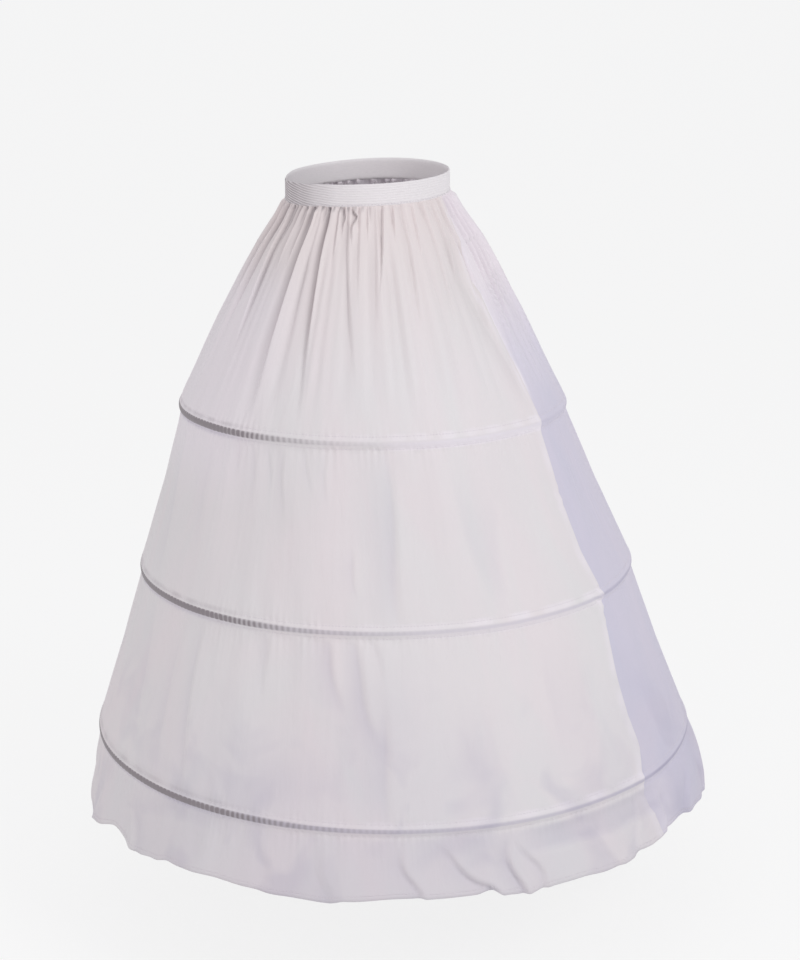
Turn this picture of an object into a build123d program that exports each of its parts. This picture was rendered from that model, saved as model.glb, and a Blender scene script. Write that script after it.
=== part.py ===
"""Hoop skirt: two cloth panels gathered into a waistband and held out by three steel hoops in sewn casings.

Millimetres. Z is up, the origin is the middle of the waistband, the front faces -Y and the wearer's left is +X.
"""

import os
from math import cos, degrees, radians, sin, tan

from build123d import *

os.makedirs("parts", exist_ok=True)

# Waistband, which hangs lower in front than behind
waist_radius = 114.0
band_height = 30.0
band_thickness = 2.4
waist_lean = radians(3.7)

# Cloth panels of flat facets, joined by side seams that lie a little ahead of the sides
cloth_thickness = 1.6
fold_count = 22
front_folds = 10
fold_facets = 4
flat_share = 0.000001

# Gathers below the waistband, broad at their crests and narrow in their valleys
fold_depth = 6.5
fold_mix_shares = (0.85, -0.15)
uneven_count = 5
uneven_share = 0.35
gather_drop_shares = (0.0, 0.078, 0.265, 0.636)
gather_radius_shares = (0.0, 0.083, 0.30, 0.664)
gather_depth_shares = (0.0, 0.7, 1.0, 0.6)
gather_lean_shares = (1.0, 0.92, 0.7, 0.3)

# Hoop rings: radius over the cloth, drop below the waistband and set-back behind the waist
upper_radius = 275.5
upper_drop = 296.0
upper_setback = 12.5
middle_radius = 360.0
middle_drop = 536.5
middle_setback = 51.5
lower_radius = 442.5
lower_drop = 789.0
lower_setback = 74.0

# Free hem below the lower hoop
hem_radius = 471.0
hem_drop = 876.0
hem_setback = 83.0
hem_wave_count = 13
hem_ripple_count = 21
hem_depth = 7.0
hem_mix_shares = (0.65, 0.35)

# Steel strip of each hoop, its joining sleeve and its casing tape
strip_height = 8.0
strip_thickness = 1.0
strip_gap = 2.0
sleeve_length = 26.0
sleeve_wall = 0.4
play = 0.2
seam_play = 0.1
tape_thickness = 1.0
tape_top_margin = 10.0
tape_bottom_margin = 8.0

# A facet's middle lies a little nearer the axis than its corners
facet_count = fold_count * fold_facets
facet_angle = radians(360) / facet_count
facet_flat_share = cos(facet_angle / 2)
facet_sag = lower_radius * (1 - facet_flat_share)

# The cloth ridge that makes room for the strip and sleeve between panel and tape
sleeve_reach = strip_height / 2 + play + sleeve_wall
tape_above = sleeve_reach + tape_top_margin
tape_below = sleeve_reach + tape_bottom_margin
filled_depth = strip_thickness + 2 * sleeve_wall + 4 * play - seam_play + facet_sag
ridge_height = filled_depth / (1 - sleeve_reach / tape_below)
strip_depth = cloth_thickness + ridge_height * sleeve_reach / tape_below + 2 * play + sleeve_wall + facet_sag
tape_depth = cloth_thickness + ridge_height + seam_play

band_bottom = -band_height / 2
cloth_top_radius = waist_radius - (band_thickness - cloth_thickness) / 2


def smooth_ring(angle):
    """A ring with no wave."""
    return 0.0


def gather_wave(angle):
    """Folds of uneven depth round the waist, as a share of the fold depth."""
    fold, crest = fold_mix_shares
    uneven = 1 + uneven_share * cos(uneven_count * angle)
    return uneven * (fold * cos(fold_count * angle) + crest * cos(2 * fold_count * angle))


def hem_wave(angle):
    """Broad uneven waves of the free hem, as a share of its depth."""
    wave, ripple = hem_mix_shares
    return wave * cos(hem_wave_count * angle) + ripple * cos(hem_ripple_count * angle)


def gather_rings():
    """Rings from the waistband to the upper hoop's casing: radius, drop, set-back, lean, depth and wave."""
    rings = []
    radius_run = upper_radius - ridge_height - cloth_top_radius
    drop_run = upper_drop - tape_above
    for index, drop_share in enumerate(gather_drop_shares):
        radius = cloth_top_radius + radius_run * gather_radius_shares[index]
        lean = waist_lean * gather_lean_shares[index]
        depth = fold_depth * gather_depth_shares[index]
        rings.append((radius, drop_run * drop_share, upper_setback * drop_share, lean, depth, gather_wave))
    return rings


def hoop_rings(radius, drop, setback):
    """The casing's upper stitch line, the ridge over the hoop and the lower stitch line."""
    stitch = radius - ridge_height
    above = (stitch, drop - tape_above, setback, 0.0, 0.0, smooth_ring)
    ridge = (radius, drop, setback, 0.0, 0.0, smooth_ring)
    below = (stitch, drop + tape_below, setback, 0.0, 0.0, smooth_ring)
    return [above, ridge, below]


def skirt_rings():
    """Every ring of the cloth from the waistband to the hem."""
    rings = gather_rings()
    rings += hoop_rings(upper_radius, upper_drop, upper_setback)
    rings += hoop_rings(middle_radius, middle_drop, middle_setback)
    rings += hoop_rings(lower_radius, lower_drop, lower_setback)
    rings.append((hem_radius, hem_drop, hem_setback, 0.0, hem_depth, hem_wave))
    return rings


def ring_corners(ring, first, last, inset):
    """The facet corners along one ring, from one seam to the other."""
    radius, drop, setback, lean, depth, wave = ring
    corners = []
    for step in range(first, last + 1):
        angle = step * facet_angle
        reach = radius + depth * wave(angle) - inset
        ahead = reach * sin(angle)
        corners.append(Vector(reach * cos(angle), setback + ahead, band_bottom - drop + ahead * tan(lean)))
    return corners


def facets(one, two, three, four):
    """One flat face through four corners, or two where the corners don't lie in a plane."""
    normal = (two - one).cross(three - one).normalized()
    if abs((four - one).dot(normal)) < flat_share * cloth_thickness:
        return [Face(Wire.make_polygon([one, two, three, four]))]
    return [Face(Wire.make_polygon([one, two, three])), Face(Wire.make_polygon([one, three, four]))]


def facet_band(upper, lower):
    """Facets between two rows of corners."""
    faces = []
    for step in range(len(upper) - 1):
        faces += facets(upper[step], upper[step + 1], lower[step + 1], lower[step])
    return faces


def panel_solid(first, last):
    """One cloth panel between two seams: an outer and an inner side, closed along the seams, top and hem."""
    outer = [ring_corners(ring, first, last, 0.0) for ring in skirt_rings()]
    inner = [ring_corners(ring, first, last, cloth_thickness) for ring in skirt_rings()]
    faces = facet_band(outer[0], inner[0]) + facet_band(outer[-1], inner[-1])
    for level in range(len(outer) - 1):
        faces += facet_band(outer[level], outer[level + 1])
        faces += facet_band(inner[level], inner[level + 1])
        for end in (0, -1):
            faces += facets(outer[level][end], outer[level + 1][end], inner[level + 1][end], inner[level][end])
    return Solid(Shell(faces))


def radial_plane(setback, turn):
    """An upright plane through a hoop's axis, turned from the wearer's left."""
    return Plane(origin=(0, setback, 0), x_dir=(cos(turn), sin(turn), 0), z_dir=(sin(turn), -cos(turn), 0))


def hoop_axis(setback):
    """The upright axis of a hoop."""
    return Axis((0, setback, 0), (0, 0, 1))


# Waistband
upper_cut = Plane(origin=(0, 0, -band_bottom), x_dir=(1, 0, 0), z_dir=(0, -sin(waist_lean), cos(waist_lean)))
lower_cut = Plane(origin=(0, 0, band_bottom), x_dir=(1, 0, 0), z_dir=(0, -sin(waist_lean), cos(waist_lean)))
tube_reach = band_height + waist_radius * tan(waist_lean)
with BuildPart() as waistband:
    with BuildSketch(Plane.XY):
        Circle(waist_radius)
        Circle(waist_radius - band_thickness, mode=Mode.SUBTRACT)
    extrude(amount=tube_reach, both=True)
    split(bisect_by=upper_cut, keep=Keep.BOTTOM)
    split(bisect_by=lower_cut, keep=Keep.TOP)
waistband.part.label = "waistband"
export_step(waistband.part, "parts/waistband.step")

# Front panel
front_end = (fold_count // 2 - front_folds) * fold_facets // 2
front_first = facet_count // 2 + front_end
front_last = facet_count - front_end
with BuildPart() as front_panel:
    add(panel_solid(front_first, front_last))
front_panel.part.label = "front_panel"
export_step(front_panel.part, "parts/front_panel.step")

# Back panel
with BuildPart() as back_panel:
    add(panel_solid(front_last - facet_count, front_first))
back_panel.part.label = "back_panel"
export_step(back_panel.part, "parts/back_panel.step")


def casing_sketch(radius, drop, setback):
    """The casing tape seen from above, its outer face along the panels' stitch lines."""
    level = band_bottom - drop - tape_below
    with BuildSketch(Plane(origin=(0, setback, level))) as tape:
        RegularPolygon(radius - tape_depth, facet_count)
        RegularPolygon(radius - tape_depth - tape_thickness, facet_count, mode=Mode.SUBTRACT)
    return tape.sketch


# Upper casing
with BuildPart() as upper_casing:
    extrude(casing_sketch(upper_radius, upper_drop, upper_setback), amount=tape_above + tape_below)
upper_casing.part.label = "upper_casing"
export_step(upper_casing.part, "parts/upper_casing.step")

# Middle casing
with BuildPart() as middle_casing:
    extrude(casing_sketch(middle_radius, middle_drop, middle_setback), amount=tape_above + tape_below)
middle_casing.part.label = "middle_casing"
export_step(middle_casing.part, "parts/middle_casing.step")

# Lower casing
with BuildPart() as lower_casing:
    extrude(casing_sketch(lower_radius, lower_drop, lower_setback), amount=tape_above + tape_below)
lower_casing.part.label = "lower_casing"
export_step(lower_casing.part, "parts/lower_casing.step")


def hoop_sketch(radius, drop, setback):
    """The steel strip's profile at one of its ends, beside the gap at the middle of the back."""
    middle_ring = radius - strip_depth - strip_thickness / 2
    turn = radians(90) + strip_gap / middle_ring / 2
    with BuildSketch(radial_plane(setback, turn)) as profile:
        with Locations((middle_ring, band_bottom - drop)):
            Rectangle(strip_thickness, strip_height)
    return profile.sketch


def hoop_arc(radius):
    """The angle that a strip runs round its ring, all but the gap between its ends."""
    return 360 - degrees(strip_gap / (radius - strip_depth - strip_thickness / 2))


# Upper hoop
with BuildPart() as upper_hoop:
    revolve(hoop_sketch(upper_radius, upper_drop, upper_setback), axis=hoop_axis(upper_setback),
            revolution_arc=hoop_arc(upper_radius))
upper_hoop.part.label = "upper_hoop"
export_step(upper_hoop.part, "parts/upper_hoop.step")

# Middle hoop
with BuildPart() as middle_hoop:
    revolve(hoop_sketch(middle_radius, middle_drop, middle_setback), axis=hoop_axis(middle_setback),
            revolution_arc=hoop_arc(middle_radius))
middle_hoop.part.label = "middle_hoop"
export_step(middle_hoop.part, "parts/middle_hoop.step")

# Lower hoop
with BuildPart() as lower_hoop:
    revolve(hoop_sketch(lower_radius, lower_drop, lower_setback), axis=hoop_axis(lower_setback),
            revolution_arc=hoop_arc(lower_radius))
lower_hoop.part.label = "lower_hoop"
export_step(lower_hoop.part, "parts/lower_hoop.step")


def sleeve_sketch(radius, drop, setback):
    """The sleeve's profile at one of its ends: a flat tube with a little play round the strip."""
    level = band_bottom - drop
    middle_ring = radius - strip_depth - strip_thickness / 2
    turn = radians(90) - sleeve_length / middle_ring / 2
    hole_width = strip_thickness + 2 * play
    hole_height = strip_height + 2 * play
    with BuildSketch(radial_plane(setback, turn)) as profile:
        with Locations((middle_ring, level)):
            Rectangle(hole_width + 2 * sleeve_wall, hole_height + 2 * sleeve_wall)
            Rectangle(hole_width, hole_height, mode=Mode.SUBTRACT)
    return profile.sketch


def sleeve_arc(radius):
    """The angle that a sleeve covers."""
    return degrees(sleeve_length / (radius - strip_depth - strip_thickness / 2))


# Upper sleeve
with BuildPart() as upper_sleeve:
    revolve(sleeve_sketch(upper_radius, upper_drop, upper_setback), axis=hoop_axis(upper_setback),
            revolution_arc=sleeve_arc(upper_radius))
upper_sleeve.part.label = "upper_sleeve"
export_step(upper_sleeve.part, "parts/upper_sleeve.step")

# Middle sleeve
with BuildPart() as middle_sleeve:
    revolve(sleeve_sketch(middle_radius, middle_drop, middle_setback), axis=hoop_axis(middle_setback),
            revolution_arc=sleeve_arc(middle_radius))
middle_sleeve.part.label = "middle_sleeve"
export_step(middle_sleeve.part, "parts/middle_sleeve.step")

# Lower sleeve
with BuildPart() as lower_sleeve:
    revolve(sleeve_sketch(lower_radius, lower_drop, lower_setback), axis=hoop_axis(lower_setback),
            revolution_arc=sleeve_arc(lower_radius))
lower_sleeve.part.label = "lower_sleeve"
export_step(lower_sleeve.part, "parts/lower_sleeve.step")
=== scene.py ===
import math

import bpy
import numpy as np
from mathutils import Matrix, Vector


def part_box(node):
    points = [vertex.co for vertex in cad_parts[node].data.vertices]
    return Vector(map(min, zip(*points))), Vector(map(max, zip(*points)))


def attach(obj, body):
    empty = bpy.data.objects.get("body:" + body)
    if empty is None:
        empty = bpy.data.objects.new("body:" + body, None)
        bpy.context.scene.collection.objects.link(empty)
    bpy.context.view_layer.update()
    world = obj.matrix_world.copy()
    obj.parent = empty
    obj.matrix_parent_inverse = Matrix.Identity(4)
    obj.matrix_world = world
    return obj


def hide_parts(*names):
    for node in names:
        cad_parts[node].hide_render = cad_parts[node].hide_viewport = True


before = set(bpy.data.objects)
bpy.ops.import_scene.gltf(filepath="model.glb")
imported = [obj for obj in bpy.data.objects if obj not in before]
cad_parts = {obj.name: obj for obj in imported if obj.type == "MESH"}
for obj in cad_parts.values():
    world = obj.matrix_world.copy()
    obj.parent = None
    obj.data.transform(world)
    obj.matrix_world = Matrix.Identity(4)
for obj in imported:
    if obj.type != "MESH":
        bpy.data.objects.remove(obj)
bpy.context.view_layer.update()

# Hoops: three strips of blued spring steel, each bent into a ring and slipped into its casing.
# They are rigid, so the solids stay and only get their rolled and blued finish.

hoop_names = ("upper_hoop", "middle_hoop", "lower_hoop")


def linear(code):
    """Turns an sRGB hex colour into the linear colour that Blender uses."""
    shades = [int(code[place:place + 2], 16) / 255 for place in (1, 3, 5)]
    return tuple(s / 12.92 if s <= 0.04045 else ((s + 0.055) / 1.055) ** 2.4 for s in shades) + (1.0,)


def add_node(tree, kind, inputs=None, **settings):
    """Adds one node, sets its properties, and fills or links its inputs."""
    node = tree.nodes.new(kind)
    for name, value in settings.items():
        setattr(node, name, value)
    for key, value in (inputs or {}).items():
        if isinstance(value, bpy.types.NodeSocket):
            tree.links.new(value, node.inputs[key])
        else:
            node.inputs[key].default_value = value
    return node


def new_material(name):
    """An empty material with its node tree, ready for a shader."""
    material = bpy.data.materials.new(name)
    material.use_nodes = True
    material.node_tree.nodes.clear()
    return material, material.node_tree


def finish_material(tree, shader):
    """Sends the shader to the surface."""
    add_node(tree, "ShaderNodeOutputMaterial", {"Surface": shader.outputs["BSDF"]})


def blued_spring_steel():
    """Rolled strip steel, oxidised blue-black: a dull metal with fine rolling streaks along it."""
    material, tree = new_material("blued_spring_steel")
    place = add_node(tree, "ShaderNodeTexCoord")
    streak_pitch = 0.0015
    stretched = add_node(tree, "ShaderNodeMapping", {
        "Vector": place.outputs["Object"], "Scale": (0.05, 0.05, 1.0)})
    streaks = add_node(tree, "ShaderNodeTexNoise", {
        "Vector": stretched.outputs["Vector"], "Scale": 1 / streak_pitch, "Detail": 3.0})
    tint = add_node(tree, "ShaderNodeValToRGB", {"Fac": streaks.outputs["Fac"]})
    tint.color_ramp.elements[0].color = linear("#4A4C52")
    tint.color_ramp.elements[1].color = linear("#74767C")
    grain = add_node(tree, "ShaderNodeBump", {
        "Height": streaks.outputs["Fac"], "Strength": 0.15, "Distance": 0.0002})
    shader = add_node(tree, "ShaderNodeBsdfPrincipled", {
        "Base Color": tint.outputs["Color"], "Metallic": 1.0, "Roughness": 0.38,
        "Normal": grain.outputs["Normal"]})
    finish_material(tree, shader)
    return material


def dress_node(name, material):
    """Gives a solid of the frame its finish."""
    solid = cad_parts[name]
    solid.data.materials.clear()
    solid.data.materials.append(material)
    for face in solid.data.polygons:
        face.material_index = 0


strip_steel = blued_spring_steel()
for hoop_name in hoop_names:
    dress_node(hoop_name, strip_steel)

# Sleeves: short flat tubes of plated steel, crimped over the two ends of each hoop at the middle of the back.
# They are rigid too, with a bright, slightly clouded plating.


def zinc_plated_steel():
    """Zinc plating: a pale metal with a soft cloudy lustre."""
    material, tree = new_material("zinc_plated_steel")
    place = add_node(tree, "ShaderNodeTexCoord")
    cloud_size = 0.004
    clouds = add_node(tree, "ShaderNodeTexNoise", {
        "Vector": place.outputs["Object"], "Scale": 1 / cloud_size, "Detail": 4.0})
    tint = add_node(tree, "ShaderNodeValToRGB", {"Fac": clouds.outputs["Fac"]})
    tint.color_ramp.elements[0].color = linear("#A9ABAF")
    tint.color_ramp.elements[1].color = linear("#CDCFD2")
    shader = add_node(tree, "ShaderNodeBsdfPrincipled", {
        "Base Color": tint.outputs["Color"], "Metallic": 1.0, "Roughness": 0.42})
    finish_material(tree, shader)
    return material


sleeve_plating = zinc_plated_steel()
for sleeve_name in ("upper_sleeve", "middle_sleeve", "lower_sleeve"):
    dress_node(sleeve_name, sleeve_plating)

# Front panel: one gored width of thin white polyester taffeta, gathered into the waistband, stretched over
# the three hoops and left free below the last one. Gathers, puckers and hem waves are in its mesh.

# Sizes of the skirt from the frame: the cloth stands off each hoop, and the hem stands out in places
roll_reach = 0.0043
hem_fullness = 0.0049
waist_lean = math.radians(3.7)
waist_low, waist_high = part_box("waistband")
waist_radius = (waist_high[0] - waist_low[0]) / 2
band_height = waist_high[2] - waist_low[2] - 2 * waist_radius * math.tan(waist_lean)
hoop_boxes = [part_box(name) for name in hoop_names]
hoop_radii = tuple((high[0] - low[0]) / 2 + roll_reach for low, high in hoop_boxes)
hoop_drops = tuple(-(low[2] + high[2]) / 2 - band_height / 2 for low, high in hoop_boxes)
hoop_setbacks = tuple((low[1] + high[1]) / 2 for low, high in hoop_boxes)
upper_drop = hoop_drops[0]
lower_drop = hoop_drops[2]
front_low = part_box("front_panel")[0]
back_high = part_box("back_panel")[1]
hem_radius = (back_high[1] - front_low[1]) / 2 - hem_fullness
hem_setback = (back_high[1] + front_low[1]) / 2
hem_drop = -front_low[2] - band_height / 2

# Outlines: drop below the waistband and radius beyond it, and the same for the cloth rolled over a hoop
gathered_outline = ((-0.006, -0.0012), (0.0, -0.0006), (0.005, 0.0040), (0.022, 0.0135), (0.060, 0.0395),
                    (0.110, 0.0675), (0.170, 0.1000), (0.230, 0.1298))
hoop_outline = ((-0.0150, -0.0050), (-0.0105, -0.0038), (-0.0075, -0.0015), (-0.0045, 0.0000),
                (-0.0015, 0.0006), (0.0015, 0.0004), (0.0035, -0.0005), (0.0055, -0.0015),
                (0.0075, -0.0017), (0.0120, -0.0008))
outline_rounding = 0.0011
rounding_steps = 12
tier_slack = 0.0032

# How far the waistband and the gathers below it sag at each angle
waist_sag = ((-180, 0.0030), (-152, 0.0055), (-135, 0.0058), (-115, 0.0042), (-90, 0.0014), (-62, 0.0006),
             (30, 0.0008), (90, 0.0), (180, 0.0030))
waist_sag_reach = 0.12
waist_lean_margin = 0.02

# How far the cloth hangs below the upper and the middle hoop at each angle
hoop_sags = (((-180, 0.0008), (-150, 0.0015), (-110, 0.0013), (-80, 0.0006), (-50, 0.0004), (30, 0.0),
              (180, 0.0008)),
             ((-180, 0.0030), (-150, 0.0055), (-112, 0.0050), (-97, 0.0040), (-85, 0.0033), (-70, 0.0021),
              (-50, 0.0013), (-20, 0.0010), (30, 0.0), (120, 0.0005), (180, 0.0030)))
sag_reach = 0.07

# Side seam at the skirt's own left: drop, and angle from the side in degrees
seam_line = ((0.0, -0.5), (0.065, -10.5), (0.105, -13.0), (0.165, -11.0), (0.225, -8.0), (0.300, -6.5),
             (0.390, -8.5), (0.470, -8.6), (0.535, -6.0), (0.640, -8.8), (0.700, -9.4), (0.742, -8.9),
             (0.775, -10.6), (0.810, -10.7), (0.880, -9.0))
seam_lap = 0.005
seam_allowance = 0.010
cloth_thickness = 0.0004
lap_step = 1.5 * cloth_thickness
lap_reach = 0.012
hem_fold = 0.006

# Rows of each stretch of a panel: how far the first and the last lie below its ends, and how many; and the
# rows of the turned hem: drop below the hem's edge, and inset
waist_rows = (-0.006, 0.055, 25)
gather_rows = (0.0625, -0.0240, 26)
roll_rows = (-0.0160, 0.0155, 22)
tier_rows = (0.0240, -0.0245, 23)
free_rows = (0.0190, 0.0, 16)
turned_hem = ((0.0005, 0.0006), (0.0, 0.0012), (-0.5 * hem_fold, 0.0014), (-hem_fold, 0.0012),
              (-hem_fold, 0.0007))

# Folds that hang from the waistband: angles at the band and at the fold's end, depth, length, half width, and
# a kink near the band in degrees. A fold lies over to the right, or to the left where its depth is negative.
front_gathers = (
    (-146, -139, -0.0090, 0.20, 0.0020, 0), (-134, -128, -0.0110, 0.19, 0.0020, 0),
    (-122.5, -116, -0.0085, 0.22, 0.0017, 0), (-112.5, -110, 0.0042, 0.10, 0.0013, 0),
    (-105, -104, 0.0050, 0.09, 0.0012, 0), (-97.8, -99.2, 0.0122, 0.31, 0.0023, 0),
    (-92.5, -90.5, 0.0022, 0.21, 0.0020, 0), (-86.2, -82.5, 0.0115, 0.29, 0.0019, 0),
    (-80, -78.5, 0.0045, 0.08, 0.0012, 0), (-73.5, -65.5, 0.0055, 0.24, 0.0022, 0),
    (-76.5, -76, 0.0050, 0.040, 0.0011, 1), (-71, -70, 0.0080, 0.050, 0.0013, 3),
    (-66, -66, 0.0040, 0.13, 0.0020, 0), (-61, -61.5, 0.0040, 0.045, 0.0011, 0),
    (-56, -60, 0.0035, 0.20, 0.0022, 0), (-51, -58, 0.0065, 0.125, 0.0009, 0),
    (-44, -47, 0.0040, 0.05, 0.0012, 0), (-38, -43, 0.0045, 0.18, 0.0020, 0),
    (-30, -36, 0.0045, 0.08, 0.0014, 0), (-22, -29, 0.0045, 0.20, 0.0020, 0),
    (-13, -22, 0.0045, 0.14, 0.0016, 0), (-5, -17, 0.0060, 0.22, 0.0016, 0),
    (4, -6, 0.0080, 0.26, 0.0015, 0), (10, 2, 0.0090, 0.25, 0.0015, 0),
    (16, 10, 0.0090, 0.23, 0.0015, 0), (23, 18, 0.0080, 0.25, 0.0017, 0))
kink_drop = 0.0126
kink_reach = 0.006

# Section of a fold that lies over: lengths of its steep and gentle sides in half widths, and the shares of
# its depth that its crest and its valley take
steep_side = 1.1
gentle_side = 3.6
crest_share = 0.42
valley_share = 0.58

# Where a long fold starts, how it widens on its way down, and where all folds end above the upper hoop
fold_start = (-0.003, 0.005)
fold_widening = 0.9
widening_span = (0.08, 0.30)
gather_end = (-0.050, -0.012)

# Long folds of the back, short pleats all round, and the uneven waves and streaks between the folds; a span
# gives the drops at which something starts, is full, ebbs and ends
back_gather_pitch = 8.6
back_gather_span = (31, 206)
back_gather_depths = (0.0045, 0.0095)
back_gather_lengths = (0.12, 0.30)
back_gather_width = 0.0020
short_gather_count = 60
short_gather_depths = (0.0016, 0.0036)
short_gather_lengths = (0.020, 0.075)
short_gather_width = math.radians(1.1)
gather_wave = 0.0015
broad_streak = 0.0008
fine_streak = 0.0004
short_gather_start = (-0.002, 0.004)
wave_start = (0.02, 0.12)
wave_ebb = (0.16, 0.285)
streak_span = (0.02, 0.09, 0.20, 0.28)

# How shaded and drawn up the cloth is at each angle: most at the skirt's own right, least at its left
shaded_side = ((-180, 0.75), (-150, 1.0), (-84, 1.0), (-66, 0.70), (-50, 0.45), (-30, 0.25), (30, 0.25),
               (90, 0.45), (180, 0.75))

# Puckers of the casing stitches, below and above a hoop: side, row of stitches, depth, reach away from the
# hoop and towards it, and the strength and reach of the long creases that trail from them
upper_stitch = -0.0102
lower_stitch = 0.0066
pucker_pitch = 0.0095
pucker_sides = ((1, lower_stitch, 0.00048, 0.014, 0.003, 1.0, 0.045),
                (-1, upper_stitch, 0.00034, 0.007, 0.004, 0.8, 0.030))
trail_depths = (0.0010, 0.0007, 0.0006)

# Slack between the hoops, clear of each by a margin: depth, slant, count, spread and seed of its waves
tier_margin = 0.010
slack_waves = ((0.0014, 0.15, 9, 4, 40), (0.0006, -0.2, 24, 8, 50), (0.00004, 0.1, 150, 50, 55))

# Drag folds between the hoops: tier, angles at both ends, shares of the tier's height, depth and half width
drag_folds = ((0, -57, -58.3, -0.10, 1.10, 0.0042, 1.15), (0, -68.6, -66.9, 0.55, 0.85, 0.0020, 0.50),
              (0, -43, -38, 0.10, 0.90, -0.0014, 1.60), (0, -96, -95, -0.10, 0.40, 0.0014, 0.45),
              (0, -91, -90, -0.10, 0.30, 0.0013, 0.40), (0, -86, -86, -0.10, 0.45, 0.0017, 0.55),
              (0, -80, -78, -0.10, 0.28, 0.0013, 0.45), (0, -74, -74, -0.10, 0.35, 0.0014, 0.50),
              (0, -102, -101, -0.10, 0.25, 0.0013, 0.40), (0, -128, -124, 0.10, 1.00, 0.0017, 1.40),
              (0, -112, -110, 0.00, 0.80, 0.0014, 1.10), (0, -30, -34, 0.30, 1.05, 0.0015, 1.70),
              (1, -74.5, -70.5, -0.10, 0.42, 0.0034, 0.90), (1, -69.0, -64.0, -0.10, 0.56, 0.0050, 1.05),
              (1, -65.0, -62.0, -0.10, 0.24, 0.0024, 0.60), (1, -62.8, -61.6, 0.22, 1.10, 0.0036, 0.95),
              (1, -105, -103, -0.10, 1.06, 0.0026, 0.60), (1, -112, -110, 0.10, 1.00, 0.0020, 0.80),
              (1, -88, -87, -0.05, 0.40, 0.0014, 0.50), (1, -125, -119, 0.00, 0.90, 0.0018, 1.20),
              (1, -43, -38, 0.35, 1.05, 0.0018, 1.50), (1, -28, -30, 0.10, 0.80, -0.0014, 1.40),
              (0, 25, 29, 0.00, 0.90, -0.0020, 1.30), (0, 62, 58, 0.10, 1.00, 0.0024, 1.20),
              (0, 104, 109, 0.00, 0.80, 0.0022, 1.20), (0, 150, 146, 0.10, 1.00, -0.0022, 1.30),
              (1, 40, 45, 0.10, 1.00, 0.0022, 1.10), (1, 83, 78, 0.00, 0.90, -0.0024, 1.20),
              (1, 126, 131, 0.10, 1.00, 0.0022, 1.20), (1, 165, 160, 0.00, 0.90, 0.0020, 1.20))

# Tucks of the side seams: depth, pitch down the seam, slant away from it, reach and start; and the groove in
# the front beside a seam: depth, distance from the seam, half width and span of drops
seam_tuck_depth = 0.0012
seam_tuck_pitch = 0.019
seam_tuck_slant = 0.034
seam_tuck_reach = 0.014
seam_tuck_start = (0.02, 0.10)
groove_depth = 0.0022
groove_place = 0.010
groove_width = 0.0045
groove_span = (0.01, 0.06, 0.17, 0.27)

# Free hem: how far it lies from the even hem, in level and in radius, and how far it bulges, at each angle
hem_levels = ((-180, 0.000), (-158, -0.004), (-148, -0.015), (-140, -0.023), (-135, -0.0275), (-128, -0.015),
              (-121, -0.001), (-117, -0.006), (-113, -0.015), (-108, -0.010), (-103, 0.000), (-94, 0.002),
              (-87, -0.001), (-81, -0.005), (-73, -0.007), (-70, -0.001), (-62, 0.004), (-49, 0.002),
              (-46.5, 0.006), (-44, -0.002), (-40.5, -0.006), (-35, -0.001), (-30, 0.000), (-24, -0.005),
              (-17.8, -0.004), (-15.5, 0.004), (-12, 0.000), (-7, 0.005), (0, 0.000), (8, -0.010),
              (18, -0.022), (32, -0.026), (48, -0.006), (58, -0.005), (75, 0.004), (98, -0.004),
              (122, 0.004), (150, -0.005), (180, 0.000))
hem_flares = ((-180, -0.014), (-156, -0.014), (-140, -0.002), (-132, 0.000), (-119, -0.007), (-112, 0.000),
              (-62, 0.001), (-25, 0.000), (-8, -0.006), (6, -0.009), (18, -0.013), (45, -0.011), (90, 0.004),
              (140, -0.004), (180, -0.014))
hem_bulges = ((-180, 0.0), (-12, 0.0), (14, 0.011), (45, 0.011), (80, 0.0), (180, 0.0))
broad_hem_wave = 0.0050
small_hem_wave = 0.0020

# Creases of the free hem: angles at the hoop and at the hem, depth and half width
hem_creases = ((-61, -58.4, 0.0058, 0.70), (-56, -45.6, 0.0068, 0.70), (-42.3, -41.1, 0.0090, 0.55),
               (-40.5, -36.6, 0.0055, 0.50), (-116.5, -113.9, -0.0070, 0.80), (-84.5, -83.7, 0.0026, 1.30),
               (-74, -72.8, 0.0034, 1.20), (-97, -98, 0.0020, 1.40), (-128, -132, 0.0032, 1.20),
               (-146, -149, -0.0036, 1.20), (-25, -21, 0.0040, 1.00), (-13, -15.5, 0.0055, 0.80),
               (-4, -7, -0.0050, 0.90), (6, 5, 0.0055, 0.90), (15, 19, 0.0055, 1.10), (33, 30, -0.0060, 1.10),
               (50, 54, 0.0070, 1.20), (72, 70, -0.0065, 1.10), (94, 98, 0.0070, 1.20),
               (118, 115, -0.0060, 1.10), (139, 143, 0.0070, 1.20), (162, 160, -0.0065, 1.20))

# Tuck of the free hem just below the last hoop: share of the way down at which it turns out again
tuck_line = ((-180, 0.40), (-36, 0.40), (-28, 0.42), (-13.5, 0.46), (0, 0.50), (180, 0.40))
tuck_depth = 0.0042

# How cool the shade of the free hem and of the lowest tier is at each angle, and the cool patches in that
# tier: angle, rise above the hoop, half width in degrees, half height and strength
hem_shade = ((-180, 0.10), (-150, 0.0), (-115, 0.08), (-95, 0.15), (-62, 0.22), (-53, 0.21), (-43.5, 0.20),
             (-40, 0.16), (-20, 0.10), (180, 0.10))
low_shade = ((-180, 0.0), (-125, 0.0), (-108, 0.05), (-95, 0.12), (-50, 0.12), (-38, 0.05), (-10, 0.09),
             (40, 0.06), (180, 0.0))
low_patches = ((-84, 0.045, 8, 0.035, 0.14), (-62, 0.155, 8, 0.060, 0.10))

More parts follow.
